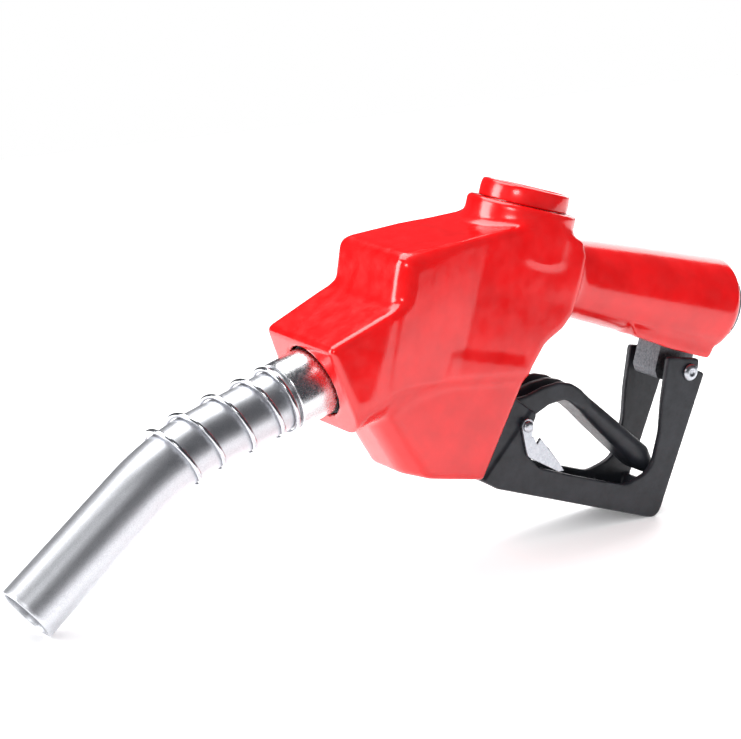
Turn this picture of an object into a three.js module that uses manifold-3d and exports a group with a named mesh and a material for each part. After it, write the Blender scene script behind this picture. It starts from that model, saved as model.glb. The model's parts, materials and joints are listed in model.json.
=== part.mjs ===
// Automatic fuel nozzle, in millimetres. It stands on its spout tip and on the rear corner of its hand guard.
// Every piece is drawn in the nozzle frame: x along the handle towards the inlet, y = 0 the plane of symmetry,
// z up with the handle level. The whole group is then leaned so that both feet touch the floor.
import * as THREE from "three";
import { mergeVertices } from "three/addons/utils/BufferGeometryUtils.js";
import Module from "manifold-3d";

const wasm = await Module();
wasm.setup();
const { Manifold } = wasm;

const WALL = 2.5; // vinyl cover
const FIT = 0.4; // between the cover and the casting
const BODY_HALF = 26.5;
const SKIRT_HALF = 24.5;
const HANDLE_Z = 158;
const HANDLE_END = 176;
const MAIN_X = 39.4; // axis of the main valve and of the cap
const TRIP_X = -4; // axis of the trip stem and of the vacuum unit
const SPOUT_PITCH = THREE.MathUtils.degToRad(33.4);
const TIP_PITCH = THREE.MathUtils.degToRad(55.2);
const SPOUT_MOUTH = new THREE.Vector3(-60.3, 0, 84.9); // spout axis where it leaves the cover
const CHIN = 25.6; // below the spout axis
const FLARE = 0.2; // how much wider the hood is at its front
const CAP_R = 22.4;
const TIER_R = 27.4;
const SPOUT_R = 15;
const SPOUT_BORE_R = 13.2;
const BEND_R = 120;
const BEND_START = 58.9; // along the spout axis, from the cover towards the tip
const TIP_STRAIGHT = 74;
const LEVER_PIN = [TRIP_X, 66];
const PLATE_IN = 13.8; // guard plates, inner and outer faces
const PLATE_OUT = 16.8;
const GUARD_CORNER_R = 7;
const RIVET = [158, 123];
const LATCH_EYE = [60.8, 82.6];
const GUARD_SCREW = [27, 105.6];

const AXIS_X = new THREE.Vector3(1, 0, 0);
const AXIS_Y = new THREE.Vector3(0, 1, 0);
const AXIS_Z = new THREE.Vector3(0, 0, 1);
const SPOUT_AXIS = new THREE.Vector3(Math.cos(SPOUT_PITCH), 0, Math.sin(SPOUT_PITCH));

const BODY = [[-36, 86], [-44.6, 154.5, 6], [26, 180], [39.4, 183], [62, 178], [66.5, 171], [66.5, 142],
  [62.6, 134], [54, 125.2], [48.4, 108.8], [42, 106.7], [1, 98.8], [-27, 91.7]];
const NOSE = [[-73.5, 104.6, 5], [-40, 131.4, 5], [-20, 132], [4, 118], [0, 100], [-10, 78], [-36, 57]];
const SKIRT = [[-31, 73, 5], [-4.6, 49.4, 6], [37.6, 53.6], [48.4, 108.8], [42, 115], [1, 113], [-29, 104]];
const SKIRT_VOID = [[-31, 73, 5], [-4.6, 49.4, 6], [47, 54.6], [58, 104.5], [44.8, 107], [44.8, 115], [1, 115], [-29, 104]];
const HANDLE = [[40, 20], [68, 20], [82, 20], [120, 22.4], [172.5, 25], [175, 24.2], [176, 22.6]];
const PAD = [[113, 142], [117, 136, 2], [143, 132.8], [169, 131.4, 2], [172, 142]];
const LUG = [[141.5, 142], [141.8, 120, 2.5], [144.6, 116.2, 2], [152, 115.6, 2], [154, 117.6], [164.6, 117.6, 4], [165, 142]];

const GUARD = [[141.6, 128.6, 2], [162.6, 130.6, 2], [163.6, 124.6], [168.4, 123.7, 1.5], [161, 45.2, GUARD_CORNER_R],
  [54.2, 49.2, 3], [43, 52], [38.8, 58], [24, 96], [18.5, 101, 2], [18.5, 110.6, 2], [33.4, 110.6, 2],
  [39.5, 100], [55, 93.8], [66.8, 89.2, 3], [64, 79], [66.4, 68.4, 6], [76, 62.7, 6], [100, 61.2], [134, 60.2, 12],
  [149.2, 69.6, 14], [148.4, 90], [144.8, 106]];
const GUARD_WEB = [[161.6, 62], [161.2, 45.2, GUARD_CORNER_R], [54.2, 49.2, 3], [43, 52], [44, 55.4], [54.6, 52.6],
  [157.4, 49, 4], [158.2, 62]];
const LEVER = [[-9, 66, 5], [-4, 71.4], [6, 74.6], [39.4, 88.1], [62, 97], [71, 102.6, 8], [80, 106.2, 6], [88, 106.4, 6],
  [96, 104.2, 8], [109.5, 98.4], [150, 80.4, 5], [155.5, 74, 4], [153.5, 66, 3], [147.5, 68.4, 4], [116, 84.2],
  [100, 92.8, 6], [87, 98.2, 6], [77, 94, 8], [69, 87, 8], [58, 83.4], [39.4, 77.6], [6, 65.6], [-1, 61], [-8, 61, 4]];
const LEVER_GROOVE = [[10, 69.6], [39.4, 80], [60, 86.6], [69, 92, 8], [77, 98.6, 6], [87, 102.2, 6], [96, 98, 4], [110, 112],
  [60, 112], [10, 90]];
const LATCH_ARM = [[56.9, 82.6, 3.6], [58.4, 86.6, 3], [63.4, 86.4, 3], [64.8, 82.2], [64.8, 78.2], [66.4, 77.8],
  [69.2, 74.6], [70.6, 77.9], [75.7, 74.4], [86.2, 67], [90.4, 63.4], [87.1, 62.4], [76.2, 65], [69.2, 66.6],
  [65.6, 67.6, 2], [63.3, 71]];
const LATCH_WEB = [[76, 72.8], [77, 74], [87, 66.6], [86.2, 65.2]];

// ---- shapes ------------------------------------------------------------------------------------------------

// A closed outline from [x, z] or [x, z, radius] corners, with each radius drawn as a short arc.
function outlineOf(corners) {
  const points = [];
  corners.forEach(([x, z, radius = 0], i) => {
    const here = new THREE.Vector2(x, z);
    if (radius === 0) {
      points.push(here);
      return;
    }
    const before = corners[(i + corners.length - 1) % corners.length];
    const after = corners[(i + 1) % corners.length];
    const back = new THREE.Vector2(before[0] - x, before[1] - z);
    const on = new THREE.Vector2(after[0] - x, after[1] - z);
    const half = Math.acos(back.dot(on) / (back.length() * on.length())) / 2;
    const reach = Math.min(radius / Math.tan(half), 0.45 * back.length(), 0.45 * on.length());
    const start = here.clone().addScaledVector(back.normalize(), reach);
    const end = here.clone().addScaledVector(on.normalize(), reach);
    const curve = new THREE.QuadraticBezierCurve(start, here, end);
    points.push(...curve.getPoints(radius > 5 ? 3 : 2));
  });
  return points;
}

// The corners of an outline moved inwards by a distance, with their radii reduced to match.
function insetCorners(corners, distance) {
  if (distance === 0) return corners;
  const points = corners.map(([x, z]) => new THREE.Vector2(x, z));
  const turn = Math.sign(THREE.ShapeUtils.area(points));
  const lines = points.map((p, i) => {
    const q = points[(i + 1) % points.length];
    const along = q.clone().sub(p).normalize();
    const inward = new THREE.Vector2(-along.y, along.x).multiplyScalar(turn * distance);
    return { point: p.clone().add(inward), along };
  });
  return lines.map((line, i) => {
    const last = lines[(i + lines.length - 1) % lines.length];
    const gap = line.point.clone().sub(last.point);
    const reach = gap.cross(line.along) / last.along.cross(line.along);
    const { x, y } = last.point.clone().addScaledVector(last.along, reach);
    const radius = (corners[i][2] ?? 0) - distance;
    return [x, y, radius > 1.5 ? radius : 0];
  });
}

// A side-view outline given a thickness from y0 to y1, with an optional bevel inside that thickness.
function slab(points, y0, y1, bevel = 0) {
  const geometry = new THREE.ExtrudeGeometry(new THREE.Shape(points), {
    depth: y1 - y0 - 2 * bevel,
    bevelEnabled: bevel > 0,
    bevelSize: bevel,
    bevelOffset: -bevel,
    bevelThickness: bevel,
    bevelSegments: bevel > 1 ? 2 : 1,
    steps: 1,
  });
  return geometry.rotateX(Math.PI / 2).translate(0, y1 - bevel, 0);
}

// A solid of revolution about +z from [radius, height] points.
function turned(profile, sides = 20) {
  const points = profile.map(([r, h]) => new THREE.Vector2(r, h));
  return new THREE.LatheGeometry(points, sides).rotateX(Math.PI / 2);
}

// A plain ring about +z.
function ring(outer, inner, z0, z1, sides = 20) {
  return turned([[outer, z0], [outer, z1], [inner, z1], [inner, z0], [outer, z0]], sides);
}

// A plain disc or rod about +z.
function disc(radius, z0, z1, sides = 20) {
  return turned([[0, z0], [radius, z0], [radius, z1], [0, z1]], sides);
}

// Turns a shape drawn about +z to another axis through a point.
function along(geometry, axis, x, y, z) {
  geometry.applyQuaternion(new THREE.Quaternion().setFromUnitVectors(AXIS_Z, axis));
  return geometry.translate(x, y, z);
}

// Puts a shape drawn about +z on the spout axis; its local y becomes the upper side of the spout.
function onSpout(geometry) {
  const upper = new THREE.Vector3(-Math.sin(SPOUT_PITCH), 0, Math.cos(SPOUT_PITCH));
  const basis = new THREE.Matrix4().makeBasis(AXIS_Y, upper, SPOUT_AXIS).setPosition(SPOUT_MOUTH);
  return geometry.applyMatrix4(basis);
}

function onMain(geometry) {
  return geometry.translate(MAIN_X, 0, 0);
}

function onTrip(geometry) {
  return geometry.translate(TRIP_X, 0, 0);
}

function acrossAt([x, z], geometry) {
  return along(geometry, AXIS_Y, x, 0, z);
}

function circle(radius, segments) {
  const shape = new THREE.Shape();
  shape.absarc(0, 0, radius, 0, 2 * Math.PI);
  return new THREE.Shape(shape.getPoints(segments).slice(0, -1));
}

class Coil extends THREE.Curve {
  constructor(turns, centre) {
    super();
    this.turns = turns;
    this.centre = centre;
  }

  getPoint(t, target = new THREE.Vector3()) {
    const angle = 2 * Math.PI * this.turns * t;
    const { point, side, up, radius } = this.centre(this.turns * t);
    return target.copy(point).addScaledVector(side, radius * Math.cos(angle)).addScaledVector(up, radius * Math.sin(angle));
  }
}

function wound(turns, wire, perTurn, centre) {
  return new THREE.ExtrudeGeometry(circle(wire, 2), {
    extrudePath: new Coil(turns, centre),
    steps: Math.round(turns * perTurn),
    bevelEnabled: false,
  });
}

// A compression spring about +z with its wire inside z0 to z1.
function spring(radius, wire, turns, z0, z1) {
  const climb = z1 - z0 - 2 * wire;
  return wound(turns, wire, 10, (turn) => ({
    point: new THREE.Vector3(0, 0, z0 + wire + (climb * turn) / turns),
    side: AXIS_X,
    up: AXIS_Y,
    radius,
  }));
}

// ---- joining and cutting -----------------------------------------------------------------------------------

function solidOf(geometry) {
  const bare = geometry.index ? geometry.toNonIndexed() : geometry.clone();
  bare.deleteAttribute("normal");
  bare.deleteAttribute("uv");
  const merged = mergeVertices(bare, 1e-4);
  const triVerts = new Uint32Array(merged.index.array);
  const made = new Manifold(new wasm.Mesh({ numProp: 3, vertProperties: merged.attributes.position.array, triVerts }));
  if (made.volume() > 0) return made;
  for (let i = 0; i < triVerts.length; i += 3) [triVerts[i + 1], triVerts[i + 2]] = [triVerts[i + 2], triVerts[i + 1]];
  return new Manifold(new wasm.Mesh({ numProp: 3, vertProperties: merged.attributes.position.array, triVerts }));
}

function joined(...geometries) {
  return Manifold.union(geometries.map(solidOf));
}

function cut(solid, ...geometries) {
  return Manifold.difference([solid, ...geometries.map(solidOf)]);
}

function geometryOf(solid) {
  const mesh = solid.getMesh();
  const geometry = new THREE.BufferGeometry();
  geometry.setAttribute("position", new THREE.BufferAttribute(mesh.vertProperties, 3));
  geometry.setIndex(new THREE.BufferAttribute(mesh.triVerts, 1));
  const flat = geometry.toNonIndexed();
  flat.computeVertexNormals();
  return flat;
}

// ---- cover and casting -------------------------------------------------------------------------------------

// The nose seen along the spout: flat sides and a rounded chin.
function noseSection(inset) {
  const half = BODY_HALF - inset;
  const chin = -(CHIN - inset);
  const corner = 19 - inset;
  const shape = new THREE.Shape();
  shape.moveTo(half, 50);
  shape.lineTo(half, chin + corner);
  shape.absarc(half - corner, chin + corner, corner, 0, -Math.PI / 2, true);
  shape.absarc(corner - half, chin + corner, corner, -Math.PI / 2, -Math.PI, true);
  shape.lineTo(-half, 50);
  return new THREE.ExtrudeGeometry(new THREE.Shape(shape.getPoints(5)), { depth: 90, steps: 1, bevelEnabled: false });
}

// The hood is widest at its front, and the nose a little narrower again.
function flare(vertex) {
  const [x] = vertex;
  const hood = THREE.MathUtils.clamp((5 - x) / 49, 0, 1);
  const nose = THREE.MathUtils.clamp((-46 - x) / 27, 0, 1);
  vertex[1] *= 1 + FLARE * hood - 0.5 * FLARE * nose;
}

// What is cut from one front corner of the skirt, so that its front face is narrower than its sides.
function skirtCorner(side, inset) {
  const [[frontX, frontZ], [lowX, lowZ]] = SKIRT;
  const forward = new THREE.Vector3(lowZ - frontZ, 0, frontX - lowX).normalize();
  const normal = forward.multiplyScalar(0.847).addScaledVector(AXIS_Y, 0.532 * side);
  const block = new THREE.BoxGeometry(120, 120, 30).translate(0, 0, 15 - inset);
  return along(block, normal, (frontX + lowX) / 2, 13 * side, (frontZ + lowZ) / 2);
}

// The outer form of the cover, shrunk by an inset: 0 is its skin, WALL its inside, WALL + FIT the room for the casting.
function coverForm(inset, skirt, end) {
  const bevel = Math.max(3 - inset, 0.5);
  const body = slab(outlineOf(insetCorners(BODY, inset)), -BODY_HALF + inset, BODY_HALF - inset, bevel);
  const nose = solidOf(slab(outlineOf(insetCorners(NOSE, inset)), -BODY_HALF + inset, BODY_HALF - inset, bevel));
  const chin = solidOf(onSpout(noseSection(inset).translate(0, 0, -20)));
  const upper = Manifold.union([solidOf(body), Manifold.intersection(nose, chin)]).warp(flare);
  const apron = cut(
    solidOf(slab(outlineOf(insetCorners(skirt, inset)), -SKIRT_HALF + inset, SKIRT_HALF - inset, bevel)),
    skirtCorner(1, inset),
    skirtCorner(-1, inset),
  );
  const tier = onMain(turned([[0, 150], [TIER_R - inset, 150], [TIER_R - inset, 186.6 - inset],
    [TIER_R - 2 - inset, 188.6 - inset], [0, 188.6 - inset]], 36));
  const grip = HANDLE.map(([x, r]) => [r - inset, x]);
  grip[grip.length - 1][1] = end;
  const handle = along(turned([[0, HANDLE[0][0]], ...grip, [0, end]], 32), AXIS_X, 0, 0, HANDLE_Z);
  return Manifold.union([upper, apron, joined(tier, handle)]);
}

function scuffCover() {
  const skin = Manifold.union([coverForm(0, SKIRT, HANDLE_END), solidOf(slab(outlineOf(PAD), -PLATE_OUT, PLATE_OUT))]);
  const hollow = Manifold.difference([skin, coverForm(WALL, SKIRT_VOID, HANDLE_END)]);
  const inletEnd = along(disc(22.2, 160, 182, 32), AXIS_X, 0, 0, HANDLE_Z);
  const lugSlot = slab(outlineOf([[140.4, 145], [140.4, 120], [166, 120], [166, 145]]), -9.5, 9.5);
  const glandSlot = slab(outlineOf([[32, 99], [60, 99], [60, 113], [32, 113]]), -6.6, 6.6);
  return cut(hollow, inletEnd, lugSlot, glandSlot, onSpout(disc(18.7, -14, 12)), onMain(disc(19.6, 180, 190)));
}

function bore(points) {
  return along(turned(points), AXIS_X, 0, 0, HANDLE_Z);
}

// The forward passage from the main chamber to the check valve, wider across than it is high.
function passage(radius, from, to) {
  const run = to.clone().sub(from);
  const tube = disc(radius, 0, run.length(), 24).scale(1, 1.35, 1);
  return along(tube, run.clone().normalize(), from.x, from.y, from.z);
}

function valveBody() {
  const barrel = bore([[0, 42], ...HANDLE.slice(0, 5).map(([x, r]) => [r - WALL - FIT, x]), [21.7, 179.5], [0, 179.5]]);
  const tower = onMain(turned([[0, 110], [7, 110], [9, 113], [14, 122], [22, 138], [23.2, 142], [23.2, 178], [0, 178]], 32));
  const chamber = new THREE.Vector3(40, 0, 127);
  const front = new THREE.Vector3(-22, 0, 114);
  const block = onSpout(turned([[0, 5], [18.8, 5], [18.8, 13], [21, 20], [21, 54], [0, 54]], 28));
  const housing = onTrip(disc(17.2, 112, 150, 28));
  const foot = slab(outlineOf([[18.4, 101], [31.4, 101], [31.4, 122], [18.4, 122]]), -13.4, 13.4);
  const rough = joined(barrel, tower, passage(15, chamber, front), block, housing, foot);
  const room = coverForm(WALL + FIT, SKIRT_VOID, 179.5);
  const held = Manifold.union([Manifold.intersection(rough, room), solidOf(slab(outlineOf(LUG), -9, 9))]);
  const open = cut(
    held,
    bore([[0, 158], [16.2, 158], [16.2, 181], [0, 181]]),
    bore([[0, MAIN_X], [13, MAIN_X], [13, 159], [0, 159]]),
    onMain(disc(19, 144, 180)),
    onMain(disc(15, 138, 145)),
    onMain(turned([[0, 120], [9, 120], [13.5, 138.5], [0, 138.5]])),
    onMain(disc(3.6, 112, 122, 16)),
    onMain(disc(5.5, 105, 116.5, 16)),
    passage(11, chamber, front),
    onSpout(disc(16.5, 0, 45)),
    onSpout(disc(11, 44, 54)),
    onTrip(disc(12.5, 137, 152)),
    acrossAt(RIVET, disc(3.3, -20, 20, 16)),
    acrossAt(GUARD_SCREW, disc(2.4, -14, -6.6, 12)),
    acrossAt(GUARD_SCREW, disc(2.4, 6.6, 14, 12)),
    onSpout(along(disc(2.3, 14, 30, 12), AXIS_X, 0, 0, 9.5)),
    ...screwPlaces().map(([x, y]) => disc(1.7, 142, 152, 8).translate(x, y, 0)),
  );
  const boss = Manifold.union([open, solidOf(onTrip(disc(8.4, 95, 137.5, 24)))]);
  return cut(boss, onTrip(disc(6.2, 100, 140)), onTrip(disc(4.2, 97, 101, 16)), onTrip(disc(5.6, 94, 98, 16)));
}

// ---- main valve --------------------------------------------------------------------------------------------

function screwPlaces() {
  return [45, 135, 225, 315].map((angle) => {
    const turn = THREE.MathUtils.degToRad(angle);
    return [TRIP_X + 14.9 * Math.cos(turn), 14.9 * Math.sin(turn)];
  });
}

function poppetCap() {
  return turned([[0, 176], [10.5, 176], [10.5, 166], [18.7, 166], [18.7, 180], [22.8, 180], [22.8, 184.6], [18.4, 184.6],
    [18.4, 191.6], [17.6, 192.6], [0, 192.6]], 28);
}

function capCover() {
  return turned([[0, 193.2], [18.8, 193.2], [18.8, 189], [CAP_R, 189], [CAP_R, 194.6], [CAP_R - 0.5, 196.6],
    [CAP_R - 2, 197.6], [0, 197.6]], 36);
}

function mainStem() {
  return turned([[0, 88.6], [2.5, 89.4], [4.2, 90.6], [4.4, 91.8], [3.2, 92.6], [3.2, 152], [0, 152]], 16);
}

function glandNut() {
  const nut = joined(disc(6, 106.8, 109.6, 6), disc(5.1, 109, 111.8, 16));
  return cut(nut, disc(3.5, 106, 113, 16));
}

// The strainer sits on the shoulder of the inlet bore, its basket slotted in six places.
function inletStrainer() {
  const basket = turned([[0, 132], [12.4, 132], [12.4, 158.3], [15.6, 158.3], [15.6, 159.8], [11.5, 159.8], [11.5, 132.9], [0, 132.9]]);
  const slots = [0, 60, 120].map((angle) => {
    const slot = new THREE.BoxGeometry(30, 5, 18).translate(0, 0, 145);
    return slot.rotateZ(THREE.MathUtils.degToRad(angle));
  });
  return geometryOf(cut(solidOf(basket), ...slots));
}

// ---- vacuum shut-off ---------------------------------------------------------------------------------------

function vacuumCap() {
  const cap = onTrip(turned([[7.4, 151.8], [16.9, 151.8], [16.9, 155.5], [9.6, 155.5], [8.4, 160.5], [0, 160.5], [0, 159],
    [7.4, 159], [7.4, 151.8]], 28));
  return geometryOf(cut(solidOf(cap), ...screwPlaces().map(([x, y]) => disc(1.7, 150, 157, 8).translate(x, y, 0))));
}

function diaphragm() {
  const sheet = onTrip(ring(16.9, 2.1, 150.3, 151.5, 28));
  return geometryOf(cut(solidOf(sheet), ...screwPlaces().map(([x, y]) => disc(1.7, 150, 152, 8).translate(x, y, 0))));
}

function capScrew([x, y]) {
  return turned([[0, 143], [1.4, 143], [1.4, 155.8], [2.3, 155.8], [2.3, 157.4], [1.6, 158], [0, 158]], 12).translate(x, y, 0);
}

function tripLatchPin() {
  return turned([[0, 116], [1.8, 116], [1.8, 146.4], [3.2, 146.4], [3.2, 148], [1.8, 148], [1.8, 154], [0, 154]], 12);
}

function tripStem() {
  const rod = onTrip(disc(3.6, 62, 118.5, 16));
  const head = onTrip(disc(5.8, 118, 132, 20));
  const eye = acrossAt(LEVER_PIN, disc(5.2, -3.4, 3.4, 16));
  const holes = [0, 120, 240].map((angle) => {
    const turn = THREE.MathUtils.degToRad(angle);
    const outward = new THREE.Vector3(Math.cos(turn), Math.sin(turn), 0);
    return along(disc(2.2, 0.5, 8, 10), outward, TRIP_X, 0, 127);
  });
  return cut(joined(rod, head, eye), onTrip(disc(2.2, 114, 133, 12)), acrossAt(LEVER_PIN, disc(2.3, -5, 5, 12)), ...holes);
}

function latchBall(angle) {
  const turn = THREE.MathUtils.degToRad(angle);
  return new THREE.IcosahedronGeometry(1.9, 1).translate(TRIP_X + 3.9 * Math.cos(turn), 3.9 * Math.sin(turn), 127);
}

// ---- lever, guard and latch --------------------------------------------------------------------------------

function lever() {
  const groove = outlineOf(LEVER_GROOVE);
  return cut(
    solidOf(slab(outlineOf(LEVER), -11.5, 11.5, 0.8)),
    slab(groove, 1.7, 9),
    slab(groove, -9, -1.7),
    slab(outlineOf([[-12, 55], [9, 55], [9, 85], [-12, 85]]), -3.9, 3.9),
    acrossAt(LEVER_PIN, disc(2.3, -13, 13, 16)),
  );
}

function leverPin() {
  return acrossAt(LEVER_PIN, turned([[0, -12.8], [3.2, -12.8], [3.2, -11.8], [2, -11.8], [2, 11.8], [3.2, 11.8], [3.2, 12.8], [0, 12.8]], 16));
}

function handGuard() {
  const plate = outlineOf(GUARD);
  const rib = outlineOf([[135, 47.6], [137.6, 47.6], [139.4, 56.6], [138, 57]]);
  const whole = joined(
    slab(plate, -PLATE_OUT, -PLATE_IN, 0.5),
    slab(plate, PLATE_IN, PLATE_OUT, 0.5),
    slab(outlineOf(GUARD_WEB), -PLATE_IN - 1, PLATE_IN + 1),
    slab(rib, -PLATE_IN - 1, PLATE_IN + 1),
    acrossAt(RIVET, disc(5.2, -PLATE_IN - 1, -9.4, 20)),
    acrossAt(RIVET, disc(5.2, 9.4, PLATE_IN + 1, 20)),
  );
  return cut(
    whole,
    acrossAt(RIVET, disc(3.3, -20, 20, 16)),
    acrossAt(GUARD_SCREW, disc(2.7, -20, 20, 12)),
    acrossAt(LATCH_EYE, disc(2.2, -20, 20, 12)),
  );
}

function guardRivet() {
  const half = [[3, 17.1], [4.4, 17.1], [4.2, 18.1], [2.8, 18.9], [0, 19.2]];
  const other = half.map(([r, h]) => [r, -h]).reverse();
  return acrossAt(RIVET, turned([...other, ...half], 20));
}

function guardScrew(side) {
  const screw = turned([[0, 7], [2.1, 7], [2.1, 17.1], [4, 17.1], [4, 18.4], [3, 19.2], [0, 19.2]], 12);
  return acrossAt(GUARD_SCREW, side > 0 ? screw : screw.rotateX(Math.PI));
}

function holdOpenLatch() {
  const arm = outlineOf(LATCH_ARM);
  const whole = joined(slab(arm, 17.1, 18.7), slab(arm, -18.7, -17.1), slab(outlineOf(LATCH_WEB), -18, 18));
  return cut(whole, acrossAt(LATCH_EYE, disc(2.2, -20, 20, 12)));
}

function latchRivet(side) {
  const rivet = turned([[0, 12.6], [3, 12.6], [3, 13.5], [1.9, 13.5], [1.9, 19], [2.9, 19], [2.3, 20.2], [0, 20.4]], 12);
  return acrossAt(LATCH_EYE, side > 0 ? rivet : rivet.rotateX(Math.PI));
}

// ---- spout -------------------------------------------------------------------------------------------------

// Centre line of the spout, running from the cover to the tip, moved to the under side by an offset.
function spoutLine(from, offset, endGap) {
  const forward = SPOUT_AXIS.clone().negate();
  const under = new THREE.Vector3(Math.sin(SPOUT_PITCH), 0, -Math.cos(SPOUT_PITCH));
  const arcStart = SPOUT_MOUTH.clone().addScaledVector(forward, BEND_START);
  const centre = arcStart.clone().addScaledVector(under, BEND_R);
  const radius = BEND_R - offset;
  const arc = [];
  for (let i = 0; i <= 6; i += 1) {
    const pitch = SPOUT_PITCH + ((TIP_PITCH - SPOUT_PITCH) * i) / 6;
    const outward = new THREE.Vector3(-Math.sin(pitch), 0, Math.cos(pitch));
    arc.push(centre.clone().addScaledVector(outward, radius));
  }
  const start = SPOUT_MOUTH.clone().addScaledVector(forward, from).addScaledVector(under, offset);
  const down = new THREE.Vector3(-Math.cos(TIP_PITCH), 0, -Math.sin(TIP_PITCH));
  const tip = arc[6].clone().addScaledVector(down, TIP_STRAIGHT - endGap);
  return [start, ...arc, tip];
}

// A bent bar through the points, square at both ends.
function bentBar(points, radius, sides) {
  const rings = points.map((point, i) => {
    const before = points[Math.max(i - 1, 0)];
    const after = points[Math.min(i + 1, points.length - 1)];
    const forward = after.clone().sub(before).normalize();
    const up = new THREE.Vector3().crossVectors(forward, AXIS_Y);
    return Array.from({ length: sides }, (_, k) => {
      const turn = (2 * Math.PI * k) / sides;
      return point.clone().addScaledVector(up, radius * Math.cos(turn)).addScaledVector(AXIS_Y, radius * Math.sin(turn));
    });
  });
  const vertices = [points[0], points[points.length - 1], ...rings.flat()];
  const faces = [];
  for (let k = 0; k < sides; k += 1) {
    const next = (k + 1) % sides;
    const last = 2 + (rings.length - 1) * sides;
    faces.push(0, 2 + k, 2 + next);
    faces.push(1, last + next, last + k);
    for (let i = 0; i < rings.length - 1; i += 1) {
      const a = 2 + i * sides;
      const b = a + sides;
      faces.push(a + k, b + next, a + next, a + k, b + k, b + next);
    }
  }
  const geometry = new THREE.BufferGeometry().setFromPoints(vertices);
  geometry.setIndex(faces);
  return geometry;
}

function spout() {
  const outside = spoutLine(1.3, 0, 0);
  const inside = spoutLine(0.3, 0, -1);
  const portPoint = spoutLine(1, SPOUT_BORE_R + 1, 14).at(-1);
  const under = new THREE.Vector3(Math.sin(TIP_PITCH), 0, -Math.cos(TIP_PITCH));
  const port = along(disc(1.6, -3, 3, 10), under, portPoint.x, 0, portPoint.z);
  return cut(solidOf(bentBar(outside, SPOUT_R, 24)), bentBar(inside, SPOUT_BORE_R, 20), port);
}

function spoutSpring() {
  const places = [17.9, 21, 36.8, 54, 72.4, 83.5].map((u) => new THREE.Vector3(u, 0, 0));
  const travel = new THREE.CatmullRomCurve3(places);
  const last = spoutLine(0, 0, 0);
  const arcCentre = last[1].clone().addScaledVector(new THREE.Vector3(Math.sin(SPOUT_PITCH), 0, -Math.cos(SPOUT_PITCH)), BEND_R);
  return wound(5, 1.2, 16, (turn) => {
    const u = travel.getPoint(turn / 5).x;
    const pitch = SPOUT_PITCH + Math.max(u - BEND_START, 0) / BEND_R;
    const up = new THREE.Vector3(-Math.sin(pitch), 0, Math.cos(pitch));
    const straight = SPOUT_MOUTH.clone().addScaledVector(SPOUT_AXIS, -u);
    const point = u < BEND_START ? straight : arcCentre.clone().addScaledVector(up, BEND_R);
    return { point, side: AXIS_Y, up: up.negate(), radius: turn < 4 ? 16.8 : 16.8 + 0.5 * (turn - 4) };
  });
}

function spoutCollar() {
  return onSpout(turned([[15.4, -16.3], [17.1, -16.3], [17.4, -16], [17.4, 3], [16.2, 3], [16.2, 23], [13, 23], [13, -1],
    [15.4, -1], [15.4, -16.3]], 32));
}

function checkGuide() {
  const arms = [0, 120, 240].map((angle) => {
    const arm = new THREE.BoxGeometry(12.4, 2.4, 2.7).translate(8.6, 0, 25.6);
    return arm.rotateZ(THREE.MathUtils.degToRad(angle));
  });
  return onSpout(geometryOf(joined(ring(16.2, 13.4, 24.2, 27), ring(4.4, 2.4, 24.2, 27, 12), ...arms)));
}

function checkPoppet() {
  return onSpout(turned([[0, 21], [2, 21], [2, 35.4], [12, 35.4], [13.2, 36.6], [13.2, 39.7], [0, 39.7]], 24));
}

// ---- assembly ----------------------------------------------------------------------------------------------

const CAST = { color: 0x6f7278, metalness: 0.7, roughness: 0.55 };
const VINYL = { color: 0xe8050a, metalness: 0, roughness: 0.25 };
const NYLON = { color: 0x24252a, metalness: 0, roughness: 0.5 };
const ALUMINIUM = { color: 0xc9ccd1, metalness: 0.9, roughness: 0.35 };
const STEEL = { color: 0xb9bcc2, metalness: 0.95, roughness: 0.25 };
const ZINC = { color: 0xd9dce0, metalness: 0.9, roughness: 0.3 };
const BRASS = { color: 0xb8944c, metalness: 0.9, roughness: 0.35 };
const RUBBER = { color: 0x17171a, metalness: 0, roughness: 0.7 };
const FLUOROPOLYMER = { color: 0xe9e9e4, metalness: 0, roughness: 0.5 };

const nozzle = new THREE.Group();
nozzle.name = "fuel_nozzle";
const leaned = new THREE.Group();
nozzle.add(leaned);

function add(name, shape, look) {
  const geometry = shape.isBufferGeometry ? shape : geometryOf(shape);
  const mesh = new THREE.Mesh(geometry, new THREE.MeshStandardMaterial(look));
  mesh.name = name;
  leaned.add(mesh);
}

add("valve_body", valveBody(), CAST);
add("scuff_cover", scuffCover(), VINYL);
add("cap_cover", onMain(capCover()), VINYL);
add("poppet_cap", onMain(poppetCap()), ALUMINIUM);
add("cap_seal", onMain(ring(22, 20.4, 178.3, 179.7)), RUBBER);
add("poppet_spring", onMain(spring(8.6, 0.9, 5, 147.4, 175.6)), STEEL);
add("poppet_disc", onMain(ring(13.2, 3.6, 142.2, 147)), BRASS);
add("poppet_seal", onMain(ring(13, 3.6, 139.9, 141.9)), RUBBER);
add("poppet_nut", onMain(ring(5.4, 3.9, 147.3, 150.2, 6)), ZINC);
add("main_stem", onMain(mainStem()), STEEL);
add("seat_ring", onMain(ring(14.7, 11.2, 138.3, 139.6)), BRASS);
add("stem_packing", onMain(ring(5.2, 3.5, 112.2, 116.1, 16)), FLUOROPOLYMER);
add("gland_nut", onMain(geometryOf(glandNut())), BRASS);
add("inlet_strainer", along(inletStrainer(), AXIS_X, 0, 0, HANDLE_Z), STEEL);

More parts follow.
